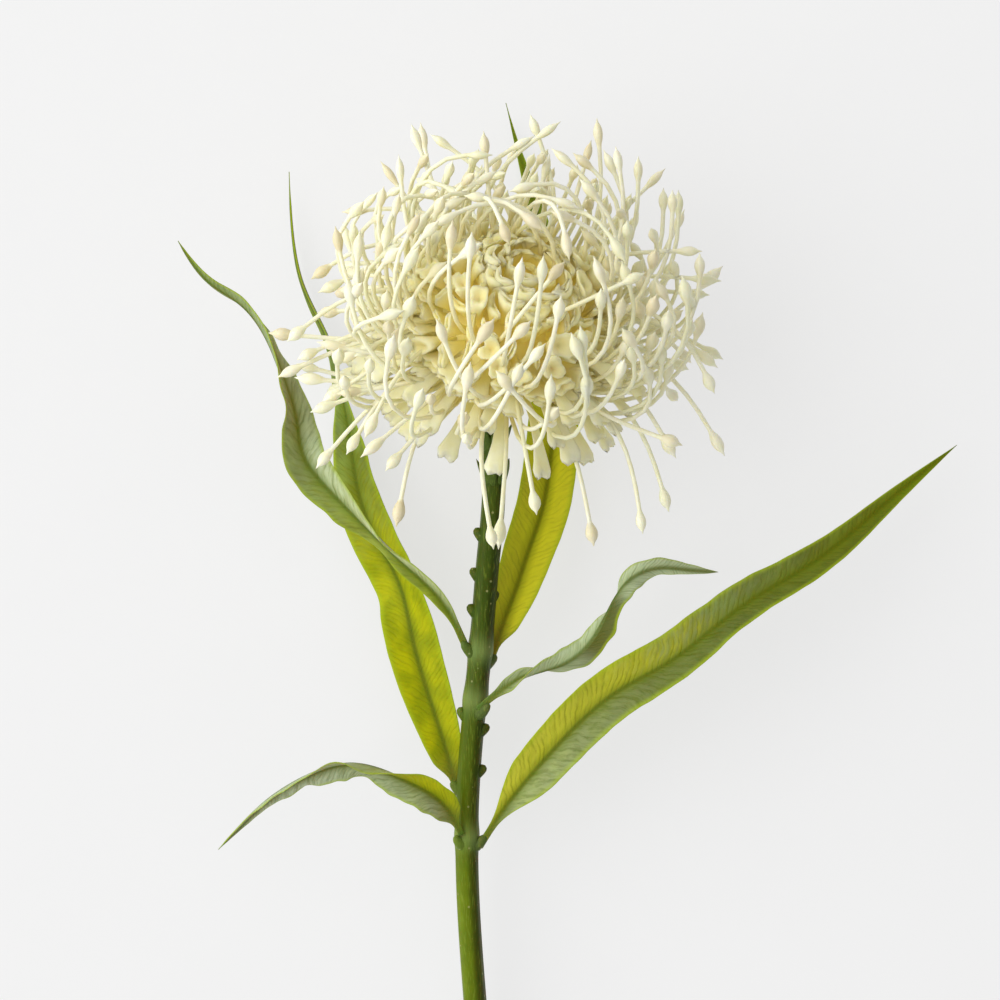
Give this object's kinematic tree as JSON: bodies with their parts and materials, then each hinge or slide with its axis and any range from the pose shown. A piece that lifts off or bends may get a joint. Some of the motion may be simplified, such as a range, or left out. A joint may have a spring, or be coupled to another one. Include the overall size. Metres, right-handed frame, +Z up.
{
  "type": "cut pincushion protea flower",
  "caption": "Single cut pincushion protea: a round head of curved, bulb-tipped styles on a leafy green stem, lying on its side.",
  "frame": {"origin": "bottom centre of the bounding box, on the table the flower lies on", "axes": "+Y along the stem from its cut end towards the bloom, +X across the flower to the right with the bloom pointing away, +Z up from the table"},
  "size_m": [0.2094, 0.3365, 0.1024],
  "materials": {
    "bloom": "waxy cream petals, golden yellow deep inside the head",
    "stem": "smooth fresh green bark with a slight sheen",
    "leaf": "satin grey-green blade, yellow-green at its margins and base"
  },
  "bodies": {
    "root": {"bloom": "bloom", "stem": "stem", "leaf_upper_left": "leaf", "leaf_behind_left": "leaf", "leaf_lower_left": "leaf", "leaf_lower_right": "leaf", "leaf_middle_right": "leaf", "leaf_behind_bloom": "leaf"}
  },
  "joints": []
}
